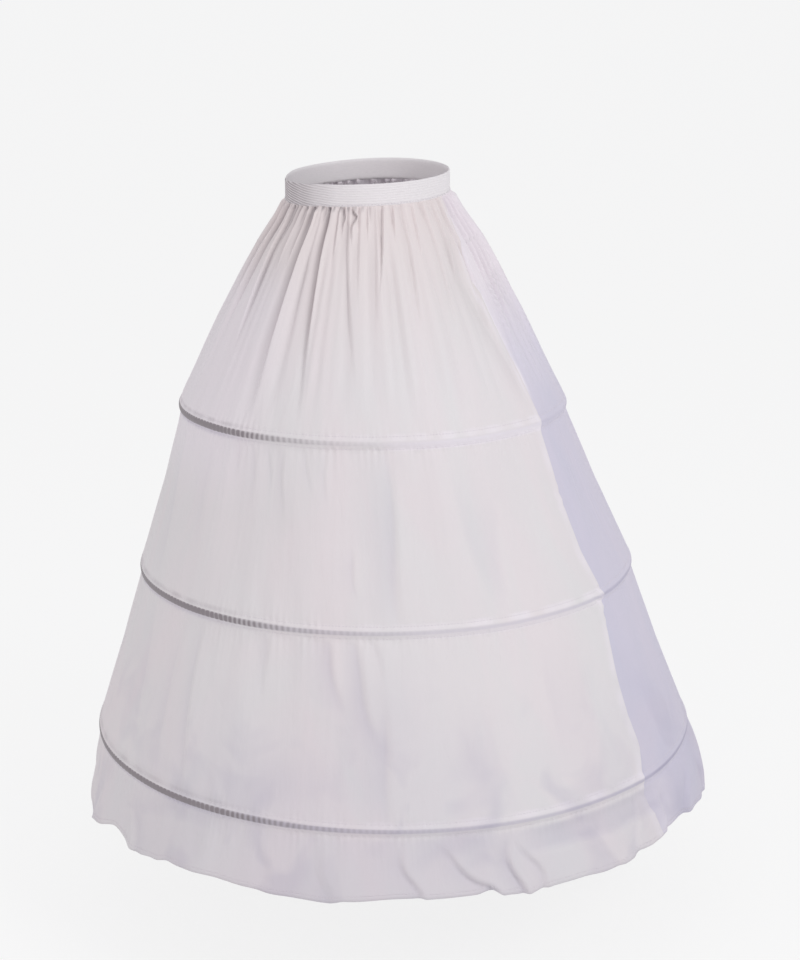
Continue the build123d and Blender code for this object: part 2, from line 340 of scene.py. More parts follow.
# How plainly the grey line of each hoop shows at each angle, and how far round that lies at each hoop: the
# steel showing through, with painted shade that makes it darkest on the side turned from the key light
steel_and_shade_strength = ((-180, 0.70), (-152, 2.3), (-112, 2.3), (-104, 1.6), (-97, 1.05), (-90, 0.75), (-84, 0.50),
               (-75, 0.28), (-66, 0.14), (-57, 0.05), (-40, 0.0), (30, 0.0), (60, 0.10), (120, 0.35),
               (180, 0.70))
steel_turns = (0.0, math.radians(4), math.radians(9))

# How cool the painted shade along a hoop is at each angle; then, for each hoop, the strength of that
# line, of the painted shade below the steel where it shows, and of the painted light under the roll
cool_lines = ((-180, 0.60), (-100, 0.20), (-75, 0.50), (-55, 0.45), (-30, 0.50), (-9, 0.70), (-4, 1.0),
              (40, 1.0), (120, 0.80), (180, 0.60))
cool_strengths = (0.16, 0.58, 0.85)
below_strengths = (0.42, 0.34, 0.28)
pale_strengths = (0.95, 0.50, 0.0)

# Half height of a hoop's line and what the steel adds to it, where the marks lie above and below a hoop, and
# the depths at which the valleys of gathers, drag folds and hem creases are fully shaded
line_half_height = 0.0023
steel_half_height = 0.0018
steel_rise = 0.0016
roll_rise = 0.0088
below_roll = 0.0030
below_steel = 0.0050
gather_shade = 0.0060
drag_shade = 0.0028
crease_shade = 0.0045

# Painted sheen of the back and painted shade of the front beside the side seams: distance, half width and
# span of drops; and where the free cloth starts below the last hoop
sheen_place = 0.0065
sheen_width = 0.0040
sheen_span = (0.05, 0.11, 0.23, 0.285)
beside_place = 0.016
beside_width = 0.011
beside_span = (0.02, 0.07, 0.22, 0.28)
free_start = (0.008, 0.016)

# Colours laid over the taffeta: doubled cloth and painted light, painted cool shade, and the steel line with
# painted dark shade
pale_code = "#F4EEF4"
shade_code = "#B1ACC2"
steel_and_shade_code = "#918A8E"

# Scale at which the bands of a wave texture lie a metre apart
wave_scale = 0.314


def outline_radius(drops):
    """Radius of the smooth cloth at each drop below the waistband."""
    points = [(drop, waist_radius + beyond) for drop, beyond in gathered_outline]
    for level, (radius, drop) in enumerate(zip(hoop_radii, hoop_drops)):
        rolled = [(drop + below, radius + beyond) for below, beyond in hoop_outline]
        if level > 0:
            above, start = points[-1], rolled[0]
            points.append(((above[0] + start[0]) / 2, (above[1] + start[1]) / 2 - tier_slack))
        points += rolled
    points.append((hem_drop, hem_radius))
    step = outline_rounding / 4
    fine = np.arange(points[0][0], points[-1][0] + step, step)
    radii = np.interp(fine, *np.array(points).T)
    reach = np.arange(-rounding_steps, rounding_steps + 1) * step
    weights = np.exp(-0.5 * (reach / outline_rounding) ** 2)
    padded = np.pad(radii, rounding_steps, mode="edge")
    rounded = np.convolve(padded, weights / weights.sum(), mode="valid")
    return np.interp(drops, fine, rounded)


def ripple(angle, count, spread, seed):
    """Uneven waves round the skirt, about so many, with a mean of zero and a usual size of one."""
    chance = np.random.default_rng(seed)
    waves = np.arange(max(count - spread, 1), count + spread + 1)
    heights = np.exp(-0.5 * ((waves - count) / (0.6 * spread)) ** 2) * chance.uniform(0.6, 1.4, len(waves))
    turns = chance.uniform(0, 2 * math.pi, len(waves))
    round_once = np.linspace(0, 2 * math.pi, 12001)
    total = np.zeros_like(round_once)
    for wave, height, turn in zip(waves, heights, turns):
        total += height * np.cos(wave * round_once + turn)
    return np.interp(angle % (2 * math.pi), round_once, total / math.sqrt(0.5 * np.sum(heights ** 2)))


def fade(value, start, end):
    """A smooth step from 0 at the start to 1 at the end."""
    share = np.clip((value - start) / (end - start), 0, 1)
    return share * share * (3 - 2 * share)


def between(value, start, full, ebb, end):
    """A smooth rise from 0 at the start to 1, and a smooth fall from the ebb to 0 at the end."""
    return fade(value, start, full) * (1 - fade(value, ebb, end))


def bell(value, centre, width):
    """A smooth bump that is 1 at its centre."""
    return np.exp(-((value - centre) / width) ** 2)


def angle_gap(angle, centre):
    """The smallest turn from a centre angle, in radians."""
    return (angle - centre + math.pi) % (2 * math.pi) - math.pi


def round_curve(angle, points):
    """A smooth curve through values at angles in degrees, read at each angle."""
    places, values = np.array(points).T
    turn = np.degrees(angle_gap(angle, 0.0))
    after = np.clip(np.searchsorted(places, turn), 1, len(places) - 1)
    share = fade((turn - places[after - 1]) / (places[after] - places[after - 1]), 0, 1)
    return values[after - 1] + share * (values[after] - values[after - 1])


def lying_fold(angle, line, width, depth):
    """A fold that lies over: across it a gentle fall to its valley, a steep rise, and a gentle fall again."""
    gap = math.copysign(1, depth) * angle_gap(angle, line) / width
    valley = np.where(gap > -1, bell(gap, -1, steep_side), np.exp((gap + 1) / gentle_side))
    crest = np.where(gap < 1, bell(gap, 1, steep_side), np.exp(-(gap - 1) / gentle_side))
    return abs(depth) * (crest_share * crest - valley_share * valley)


def back_gathers():
    """Long folds of the back, evenly spread but uneven in depth and length."""
    chance = np.random.default_rng(12)
    folds = []
    for place in np.arange(*back_gather_span, back_gather_pitch):
        top = place + chance.uniform(-2.0, 2.0)
        depth = chance.uniform(*back_gather_depths) * (-1 if top < 90 else 1)
        bottom = top + chance.uniform(-3.0, 3.0)
        folds.append((top, bottom, depth, chance.uniform(*back_gather_lengths), back_gather_width, 0))
    return tuple(folds)


def gathers(angle, drop):
    """Folds hanging from the waistband: short pleats at the band among fewer, longer ones."""
    slackening = fade(drop, *wave_start) * (1 - 0.8 * fade(drop, *wave_ebb))
    folds = gather_wave * ripple(angle, 12, 4, 8) * slackening
    streaks = broad_streak * ripple(angle, 38, 14, 9) + fine_streak * ripple(angle, 84, 26, 10)
    folds += between(drop, *streak_span) * streaks
    radius = outline_radius(drop)
    above_hoop = 1 - fade(drop - upper_drop, *gather_end)
    for top, bottom, depth, length, width, kink in front_gathers + back_gathers():
        bent = kink * bell(drop, kink_drop, kink_reach)
        line = np.radians(top + (bottom - top) * np.clip(drop / length, 0, 1) + bent)
        spread = width * (1 + fold_widening * fade(drop, *widening_span)) / radius
        held = between(drop, *fold_start, 0.40 * length, length) * above_hoop
        folds += held * lying_fold(angle, line, spread, depth)
    chance = np.random.default_rng(3)
    pitch = 2 * math.pi / short_gather_count
    drawn = 0.7 + 0.6 * round_curve(angle, shaded_side)
    for place in range(short_gather_count):
        centre = (place + chance.uniform(-0.35, 0.35)) * pitch
        depth = chance.uniform(*short_gather_depths)
        length = chance.uniform(*short_gather_lengths)
        gap = np.abs(angle_gap(angle, centre)) / short_gather_width
        held = between(drop, *short_gather_start, 0.2 * length, length)
        folds -= depth * drawn * held * np.exp(-gap ** 1.3)
    return folds


def puckers(angle, drop):
    """Small gathers drawn up by the casing stitches above and below each hoop."""
    folds = np.zeros_like(angle)
    drawn = 0.15 + 0.85 * round_curve(angle, shaded_side)
    for level, (radius, hoop_drop) in enumerate(zip(hoop_radii, hoop_drops)):
        count = round(2 * math.pi * radius / pucker_pitch)
        small = ripple(angle, count, count // 4, 20 + level)
        long = trail_depths[level] * ripple(angle, count // 4, count // 9, 30 + level)
        for side, stitch, depth, outer, inner, strength, reach in pucker_sides:
            away = side * (drop - hoop_drop - stitch)
            near = np.exp(-np.maximum(away, 0) / outer) * np.exp(-np.maximum(-away, 0) / inner)
            trailing = fade(away, -0.002, 0.012) * np.exp(-np.maximum(away, 0) / reach)
            folds += drawn * (small * depth * near + long * strength * trailing)
    return folds


def tier_share(drop, level):
    """Share of the way down the cloth between one hoop and the next."""
    height = hoop_drops[level + 1] - hoop_drops[level]
    return (drop - hoop_drops[level] - tier_margin) / (height - 2 * tier_margin)


def slack(angle, drop):
    """Slack in the cloth between the hoops: broad, shallow waves."""
    folds = np.zeros_like(angle)
    for level in (0, 1):
        held = np.sin(math.pi * np.clip(tier_share(drop, level), 0, 1))
        for depth, slant, count, spread, seed in slack_waves:
            folds += held * depth * ripple(angle + slant * drop, count, spread, seed + level)
    return folds


def dragging(angle, drop):
    """Drag folds where the cloth is pulled between the hoops."""
    folds = np.zeros_like(angle)
    for level, top, bottom, start, end, depth, width in drag_folds:
        share = tier_share(drop, level)
        along = np.clip((share - start) / (end - start), 0, 1)
        line = np.radians(top + (bottom - top) * along + 0.5 * np.sin(2 * math.pi * along + top))
        held = np.sin(math.pi * along) * between(share, -0.02, 0.04, 0.96, 1.02)
        folds += held * lying_fold(angle, line, math.radians(width), depth)
    return folds


def seam_angle(drop):
    """Angle of the side seam at the skirt's own left at each drop."""
    return np.radians(np.interp(drop, *np.array(seam_line).T))


def seam_distance(angle, drop):
    """Distance round the skirt from the nearer side seam."""
    seam = seam_angle(drop)
    left = np.abs(angle_gap(angle, seam))
    right = np.abs(angle_gap(angle, math.pi - seam))
    return np.minimum(left, right) * outline_radius(drop)


def seam_tucks(angle, drop):
    """The small slanting tucks that the stitches of each side seam draw up."""
    away = seam_distance(angle, drop)
    drawn = np.clip(0.35 + 0.65 * ripple(drop * 9, 5, 2, 77), 0, 1.6)
    waves = np.sin(2 * math.pi * (drop / seam_tuck_pitch + away / seam_tuck_slant))
    held = np.exp(-away / seam_tuck_reach) * fade(drop, *seam_tuck_start)
    return seam_tuck_depth * drawn * waves * held


def hem_share(drop):
    """Share of the way down the free cloth, from 0 below the last hoop to 1 at the hem."""
    start = lower_drop + tier_margin
    return np.clip((drop - start) / (hem_drop - start), 0, 1)


def hem_tuck(angle, share):
    """How far the free cloth is tucked in under the last hoop, from the middle of the front to the left."""
    turn = np.degrees(angle_gap(angle, math.radians(-30)))
    out_again = round_curve(angle, tuck_line)
    return between(turn, -13, -1, 20, 30) * (1 - fade(share, 0.88 * out_again, 1.15 * out_again))


def hem_creasing(angle, share):
    """Creases of the free cloth, each bending a little on its way down."""
    folds = np.zeros_like(angle)
    for top, bottom, depth, width in hem_creases:
        line = np.radians(top + (bottom - top) * share + 0.8 * np.sin(2 * math.pi * share + top))
        folds += fade(share, 0.0, 0.55) * lying_fold(angle, line, math.radians(width), depth)
    return folds


def hem_waves(angle, drop):
    """Waves and creases of the free cloth below the last hoop, growing towards the hem."""
    share = hem_share(drop)
    behind = 0.35 + 0.65 * fade(np.abs(angle_gap(angle, math.radians(-75))), 1.0, 1.8)
    waves = broad_hem_wave * ripple(angle, 11, 4, 61) + small_hem_wave * ripple(angle, 27, 8, 62)
    folds = share ** 1.4 * behind * waves
    folds += share * round_curve(angle, hem_flares)
    folds += np.sin(math.pi * share ** 0.7) * round_curve(angle, hem_bulges)
    return folds + hem_creasing(angle, share) - tuck_depth * fade(share, 0.0, 0.2) * hem_tuck(angle, share)


def row_drops(top, bottom, rows):
    """Drops of the rows of one stretch of a panel."""
    first, last, count = rows
    return np.linspace(top + first, bottom + last, count)


def panel_grid(first_side, columns):
    """Angles, drops and insets of a panel's points, from seam to seam; the last rows are the turned hem."""
    levels = [row_drops(0.0, 0.0, waist_rows), row_drops(0.0, upper_drop, gather_rows)]
    for level, hoop_drop in enumerate(hoop_drops):
        levels.append(row_drops(hoop_drop, hoop_drop, roll_rows))
        if level < 2:
            levels.append(row_drops(hoop_drop, hoop_drops[level + 1], tier_rows))
    levels.append(row_drops(lower_drop, hem_drop, free_rows))
    levels.append(np.array([hem_drop + below for below, inset in turned_hem]))
    drops = np.concatenate(levels)
    insets = np.zeros_like(drops)
    insets[-len(turned_hem):] = [inset for below, inset in turned_hem]
    seam = seam_angle(drops)
    lap = seam_lap / outline_radius(drops)
    if first_side == "right":
        start, sweep = math.pi - seam - lap, math.pi + 2 * seam + 2 * lap
    else:
        start, sweep = seam, math.pi - 2 * seam
    along = np.linspace(0, 1, columns + 1)
    angle = start[:, None] + sweep[:, None] * along[None, :]
    return angle, drops[:, None] + 0 * angle, insets[:, None] + 0 * angle


def skirt_points(angle, drop, inset=0.0):
    """Places of cloth points given by their angle and drop, and how far inside the cloth they lie."""
    ring_drops = (0.0,) + hoop_drops + (hem_drop,)
    setback = np.interp(drop, ring_drops, (0.0,) + hoop_setbacks + (hem_setback,))
    lean = math.tan(waist_lean) * (1 - fade(drop, 0.0, upper_drop - waist_lean_margin))
    radius = outline_radius(drop) + gathers(angle, drop) + puckers(angle, drop) + slack(angle, drop)
    radius += dragging(angle, drop) + hem_waves(angle, drop) + seam_tucks(angle, drop) - inset
    ahead = radius * np.sin(angle)
    sag = round_curve(angle, waist_sag) * (1 - fade(drop, 0.0, waist_sag_reach))
    down = -band_height / 2 - drop - sag + lean * ahead + hem_share(drop) * round_curve(angle, hem_levels)
    for hoop_drop, hoop_sag in zip(hoop_drops, hoop_sags):
        down -= round_curve(angle, hoop_sag) * bell(drop, hoop_drop, sag_reach)
    return np.stack([radius * np.cos(angle), setback + ahead, down], axis=-1)


def grid_mesh(name, points, ring=False):
    """A mesh of smooth quads over rows of points: an open sheet, or a ring closed both ways."""
    rows, columns = points.shape[:2]
    mesh = bpy.data.meshes.new(name)
    index = np.arange(rows * columns).reshape(rows, columns)
    right = np.roll(index, -1, axis=1)
    below = np.roll(index, -1, axis=0)
    across = np.roll(right, -1, axis=0)
    quads = np.stack([index, below, across, right], axis=-1)
    quads = (quads if ring else quads[:-1, :-1]).reshape(-1, 4)
    mesh.from_pydata(points.reshape(-1, 3).tolist(), [], quads.tolist())
    mesh.polygons.foreach_set("use_smooth", np.ones(len(mesh.polygons), dtype=bool))
    mesh.update()
    return mesh


def add_piece(name, mesh, material=None):
    """A new object at the origin, with a finish if its mesh has none yet."""
    piece = bpy.data.objects.new(name, mesh)
    bpy.context.scene.collection.objects.link(piece)
    if material:
        mesh.materials.append(material)
    return piece


def lay_cloth_map(mesh, angle, drop):
    """A UV map in metres along the cloth's width and length."""
    flat = np.stack([hem_radius * angle.ravel(), drop.ravel()], axis=1)
    corners = np.empty(len(mesh.loops), dtype=np.int32)
    mesh.loops.foreach_get("vertex_index", corners)
    layer = mesh.uv_layers.new(name="cloth")
    layer.data.foreach_set("uv", flat[corners].ravel())


def mark_points(mesh, name, values):
    """Keeps one number for each point of a mesh, for its material or its node tree."""
    layer = mesh.attributes.new(name, "FLOAT", "POINT")
    layer.data.foreach_set("value", np.ravel(values))


def free_cloth(drop):
    """1 on the free cloth below the last hoop, and 0 above it."""
    return fade(drop - lower_drop, *free_start)


def stripe(drop, centre, inner, outer):
    """1 on a level stripe round the skirt, falling to 0 from its inner to its outer half height."""
    return 1 - fade(np.abs(drop - centre), inner, outer)


def dark_folds(angle, drop, side):
    """Painted shade in gather valleys and short dabs under the band; the free cloth a little darker."""
    sunken = np.clip(-gathers(angle, drop) / gather_shade, 0, 1) ** 1.3
    dabs = np.clip(ripple(angle, 75, 25, 13), 0, 1) * (1 - fade(drop, 0.0015, 0.0065))
    dark = 0.65 * side * sunken * (1 - 0.75 * fade(drop, 0.03, 0.22)) + 0.65 * side ** 2 * dabs
    return dark + 0.02 * free_cloth(drop)


def cool_folds(angle, drop):
    """Where the cloth lies in cool shade: on the free hem, low in the last tier, and in folds."""
    share = hem_share(drop)
    free = free_cloth(drop)
    cool = free * (round_curve(angle, hem_shade) + 0.22 * hem_tuck(angle, share))
    cool += round_curve(angle, low_shade) * fade(drop, 0.60, 0.74) * (1 - free)
    for turn, rise, width, height, strength in low_patches:
        across = np.degrees(angle_gap(angle, math.radians(turn)))
        cool += strength * bell(across, 0, width) * bell(drop, lower_drop - rise, height)
    cool += 0.24 * np.clip(-dragging(angle, drop) / drag_shade, 0, 1)
    return cool + 0.14 * np.clip(-hem_creasing(angle, share) / crease_shade, 0, 1)


def pale_back(angle, drop, away):
    """Painted light on the back: round its middle, near the waist, and as a sheen beside the side seams."""
    middle = 1 - fade(np.abs(angle_gap(angle, math.pi / 2)), 0.6, 1.2)
    sheen = bell(away, sheen_place, sheen_width) * between(drop, *sheen_span)
    sheen *= np.clip(0.8 + 0.4 * ripple(drop * 9, 9, 4, 79), 0, 1.2)
    beside = free_cloth(drop) * (1 - fade(away, 0.03, 0.10))
    return 0.45 * middle + 0.28 * (1 - fade(drop, 0.20, 0.29)) + 0.85 * sheen + 0.45 * beside


def pale_front(angle, drop, away):
    """Doubled cloth over the front's seam allowances, and painted light at its own right in the gathers."""
    reach = seam_allowance * (0.35 + 0.65 * fade(drop, upper_drop - 0.03, upper_drop + 0.03))
    doubled = 1 - fade(away, 0.0, 1.3 * reach)
    doubled *= np.clip(0.8 + 0.3 * ripple(drop * 9, 12, 6, 78), 0, 1.2)
    lit = fade(-np.degrees(angle_gap(angle, 0.0)), 84, 112)
    lit *= between(drop, 0.05, 0.14, upper_drop + 0.02, upper_drop + 0.12)
    return 0.5 * doubled + 0.55 * lit


def mark_cloth(mesh, angle, drop, front):
    """Marks the steel line, painted dark and cool shade, and doubled cloth with painted light."""
    side = round_curve(angle, shaded_side)
    away = seam_distance(angle, drop)
    lavender = round_curve(angle, cool_lines)
    dark = dark_folds(angle, drop, side)
    cool = cool_folds(angle, drop)
    pale = pale_front(angle, drop, away) if front else pale_back(angle, drop, away)
    if front:
        # Painted shade on the front beside the side seams, on the side nearer the key light
        beside = bell(away, beside_place, beside_width) * between(drop, *beside_span)
        dark += 0.10 * beside * (1 - fade(side, 0.4, 0.6))
    steel_and_shade_line = np.zeros_like(angle)
    for level, hoop_drop in enumerate(hoop_drops):
        # The grey line of a hoop: steel showing through, with painted shade that is darkest away from the key
        # light
        steel = round_curve(angle - steel_turns[level], steel_and_shade_strength)
        half_height = line_half_height + steel_half_height * np.clip(steel, 0, 1)
        line = stripe(drop, hoop_drop - steel_rise, half_height - 0.0010, half_height + 0.0012)
        steel_and_shade_line += steel * line
        # Painted shade along the upper casing stitches, where the steel line is darkest
        stitch_drop = hoop_drop + upper_stitch - 0.0008 * level
        stitched = stripe(drop, stitch_drop, 0.0008, 0.0042 + 0.0010 * level)
        uneven = np.clip(0.85 + 0.3 * ripple(angle, 55, 30, 25 + level), 0.3, 1.4)
        dark += 0.19 * stitched * uneven * np.clip((steel - 0.9) / 0.8, 0, 1)
        # Painted shade: a cool line along each hoop, and a soft band below the steel where it shows most
        below = bell(drop, hoop_drop + below_steel, 0.0042) * np.clip((steel - 0.7) / 1.4, 0, 1)
        cool += cool_strengths[level] * lavender * line + below_strengths[level] * below
        if front:
            # Painted light under the roll over each hoop, and a painted highlight along it, nearer the key
            # light
            under = stripe(drop, hoop_drop + below_roll, 0.0035, 0.0075)
            pale += pale_strengths[level] * under * (1 - fade(side, 0.35, 0.70))
            roll = stripe(drop, hoop_drop - roll_rise, 0.0028, 0.0066)
            pale += 0.62 * roll * (1 - side) * np.clip(0.8 + 0.4 * ripple(angle, 40, 20, 35 + level), 0, 1.4)
    nearest = np.argmin([np.abs(drop - hoop_drop) for hoop_drop in hoop_drops], axis=0)
    mark_points(mesh, "hoop_length", np.array(hoop_radii)[nearest] * angle)
    mark_points(mesh, "steel_and_shade_line", np.clip(steel_and_shade_line, 0, 2.5))
    mark_points(mesh, "painted_dark_shade", np.clip(dark, 0, 1))
    mark_points(mesh, "cool_shade", np.clip(cool, 0, 1))
    mark_points(mesh, "doubled_cloth_and_painted_light", np.clip(pale, 0, 1))


def taffeta_whiteness(tree, cloth, warm_code, cool_code):
    """Uneven whiteness in patches about 150 mm wide."""
    patch_width = 0.15
    patch_place = add_node(tree, "ShaderNodeMapping", {"Vector": cloth, "Scale": (1.0, 0.50, 1.0)})
    patches = add_node(tree, "ShaderNodeTexNoise", {
        "Vector": patch_place.outputs["Vector"], "Scale": 1 / patch_width, "Detail": 3.0, "Roughness": 0.55,
        "Distortion": 0.8})
    tint = add_node(tree, "ShaderNodeValToRGB", {"Fac": patches.outputs["Fac"]})
    tint.color_ramp.elements[0].position = 0.36
    tint.color_ramp.elements[1].position = 0.64
    tint.color_ramp.elements[0].color = linear(warm_code)
    tint.color_ramp.elements[1].color = linear(cool_code)
    return tint.outputs["Color"]


def taffeta_shade(tree, cloth, down):
    """Cool shade: that of the folds, and patches about 90 mm wide in the lowest tier and the free cloth."""
    cloud_width = 0.09
    clouds = add_node(tree, "ShaderNodeTexNoise", {
        "Vector": cloth, "Scale": 1 / cloud_width, "Detail": 2.0, "Distortion": 0.6})
    cloudy = add_node(tree, "ShaderNodeMapRange", {
        "Value": clouds.outputs["Fac"], "From Min": 0.50, "From Max": 0.68, "To Min": 0.0, "To Max": 0.20})
    low_down = add_node(tree, "ShaderNodeMapRange", {
        "Value": down, "From Min": 0.60, "From Max": 0.76, "To Min": 0.0, "To Max": 1.0})
    cool = add_node(tree, "ShaderNodeAttribute", attribute_name="cool_shade")
    cool_sum = add_node(tree, "ShaderNodeMath", {
        0: cloudy.outputs["Result"], 1: low_down.outputs["Result"], 2: cool.outputs["Fac"]},
        operation="MULTIPLY_ADD")
    return cool_sum.outputs["Value"]


def taffeta_steel_and_shade(tree, down):
    """Steel line and painted dark shade: puckers at the casing stitches break the line about every 8 mm."""
    tick_pitch = 0.0082
    hoop_length = add_node(tree, "ShaderNodeAttribute", attribute_name="hoop_length")
    hoop_place = add_node(tree, "ShaderNodeCombineXYZ", {"X": hoop_length.outputs["Fac"], "Y": down})
    ticks = add_node(tree, "ShaderNodeTexWave", {
        "Vector": hoop_place.outputs["Vector"], "Scale": wave_scale / tick_pitch, "Distortion": 2.5,
        "Detail": 1.0, "Detail Scale": 0.8})
    broken = add_node(tree, "ShaderNodeMapRange", {
        "Value": ticks.outputs["Fac"], "To Min": 0.45, "To Max": 1.0})
    steel = add_node(tree, "ShaderNodeAttribute", attribute_name="steel_and_shade_line")
    # The painted dark shade of folds, seams and stitches
    inside = add_node(tree, "ShaderNodeAttribute", attribute_name="painted_dark_shade")
    seen = add_node(tree, "ShaderNodeMath", {
        0: steel.outputs["Fac"], 1: broken.outputs["Result"], 2: inside.outputs["Fac"]},
        operation="MULTIPLY_ADD", use_clamp=True)
    return seen.outputs["Value"]


def taffeta_relief(tree, cloth):
    """Soft crumples about 30 mm wide, and the slubs of the weave."""
    crumple_width = 0.030
    crumple_place = add_node(tree, "ShaderNodeMapping", {"Vector": cloth, "Scale": (1.0, 0.35, 1.0)})
    crumples = add_node(tree, "ShaderNodeTexNoise", {
        "Vector": crumple_place.outputs["Vector"], "Scale": 1 / crumple_width, "Detail": 3.0,
        "Distortion": 0.5})
    soft = add_node(tree, "ShaderNodeBump", {
        "Height": crumples.outputs["Fac"], "Strength": 0.26, "Distance": 0.004})
    # Threads lie a quarter of a millimetre apart: they are drawn as slubs of 2 mm by 30 mm, so as to show
    slub_width = 0.002
    slub_place = add_node(tree, "ShaderNodeMapping", {"Vector": cloth, "Scale": (1.0, 0.07, 1.0)})
    slubs = add_node(tree, "ShaderNodeTexNoise", {
        "Vector": slub_place.outputs["Vector"], "Scale": 1 / slub_width, "Detail": 2.0})
    weave = add_node(tree, "ShaderNodeBump", {
        "Height": slubs.outputs["Fac"], "Strength": 0.10, "Distance": 0.0006,
        "Normal": soft.outputs["Normal"]})
    return weave.outputs["Normal"]


def white_taffeta(name, waist_code, warm_code, cool_code, waist_reach):
    """Polyester taffeta, a close weave with a soft sheen; its steel line, light and shade are painted."""
    material, tree = new_material(name)
    cloth = add_node(tree, "ShaderNodeUVMap", uv_map="cloth").outputs["UV"]
    down = add_node(tree, "ShaderNodeSeparateXYZ", {"Vector": cloth}).outputs["Y"]
    near_waist = add_node(tree, "ShaderNodeMapRange", {
        "Value": down, "From Min": waist_reach, "From Max": 0.21, "To Min": 0.9, "To Max": 0.0})
    pale = add_node(tree, "ShaderNodeAttribute", attribute_name="doubled_cloth_and_painted_light")
    # Tints lie one over the other: painted shade by the front's waist and painted light by the back's,
    # doubled cloth with painted light, painted cool shade, and the steel line with painted dark shade
    tints = ((near_waist.outputs["Result"], waist_code), (pale.outputs["Fac"], pale_code),
             (taffeta_shade(tree, cloth, down), shade_code), (taffeta_steel_and_shade(tree, down), steel_and_shade_code))
    colour = taffeta_whiteness(tree, cloth, warm_code, cool_code)
    for share, code in tints:
        mixed = add_node(tree, "ShaderNodeMix", {"Factor": share, "A": colour, "B": linear(code)},
                         data_type="RGBA")
        colour = mixed.outputs["Result"]
    shader = add_node(tree, "ShaderNodeBsdfPrincipled", {
        "Base Color": colour, "Roughness": 0.60, "Specular IOR Level": 0.35, "Sheen Weight": 0.12,
        "Sheen Roughness": 0.45, "Normal": taffeta_relief(tree, cloth)})
    finish_material(tree, shader)
    return material


def sewn_panel(name, first_side, columns, material):
    """Makes one panel, laps the front over the back, lays the cloth map and marks painted light and shade."""
    angle, drop, inset = panel_grid(first_side, columns)
    points = skirt_points(angle, drop, inset)
    front = first_side == "right"
    if front:
        outward = np.stack([np.cos(angle), np.sin(angle), 0 * angle], axis=-1)
        seam = seam_angle(drop)
        turn = np.minimum(angle_gap(angle, math.pi - seam), angle_gap(seam, angle))
        inside = turn * outline_radius(drop)
        groove = groove_depth * bell(inside, groove_place, groove_width) * between(drop, *groove_span)
        points += outward * (lap_step * (1 - fade(inside, 0.0, lap_reach)) - groove)[..., None]
    mesh = grid_mesh(name, points)
    lay_cloth_map(mesh, angle, drop)
    mark_cloth(mesh, angle, drop, front)
    return add_piece(name, mesh, material)


panel_columns = 540
front_cloth = white_taffeta("white_taffeta_front", "#EBE1E0", "#EBE4E6", "#E8E5E6", 0.02)
front_panel = sewn_panel("taffeta_front", "right", panel_columns, front_cloth)
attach(front_panel, "root")
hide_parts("front_panel")

# Back panel: the same taffeta tinted bluer as painted cool shade, joined to the front by the two side seams.
# It is cut a little wider than the front.

# Its whites are lavender: painted cool shade laid into the back cloth's own colour
back_cloth = white_taffeta("white_taffeta_back", "#F2E9ED", "#DBD5E3", "#D5D2E2", 0.10)
back_panel = sewn_panel("taffeta_back", "left", panel_columns, back_cloth)
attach(back_panel, "root")
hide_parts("back_panel")

# Hem stitching: a row of white polyester thread, sewn by machine through the turned hem.
# A stitch is drawn a little thick and long, so that the row shows.

stitch_pitch = 0.0045
stitch_length = 0.0034
thread_width = 0.0008
thread_proud = 0.0003


def polyester_thread():
    """Spun polyester sewing thread: white, with a slight gloss and uneven twist."""
    material, tree = new_material("polyester_thread")
    place = add_node(tree, "ShaderNodeTexCoord")
    twist_length = 0.003
    twist = add_node(tree, "ShaderNodeTexNoise", {
        "Vector": place.outputs["Object"], "Scale": 1 / twist_length, "Detail": 1.0})
    tint = add_node(tree, "ShaderNodeValToRGB", {"Fac": twist.outputs["Fac"]})
    tint.color_ramp.elements[0].color = linear("#D5CED4")
    tint.color_ramp.elements[1].color = linear("#EAE5EA")
    shader = add_node(tree, "ShaderNodeBsdfPrincipled", {
        "Base Color": tint.outputs["Color"], "Roughness": 0.5})
    finish_material(tree, shader)
    return material


def add_sockets(tree, inputs):
    """Gives a node tree its named inputs and its geometry output."""
    for name, kind in inputs:
        tree.interface.new_socket(name, in_out="INPUT", socket_type="NodeSocket" + kind)
    tree.interface.new_socket("Geometry", in_out="OUTPUT", socket_type="NodeSocketGeometry")


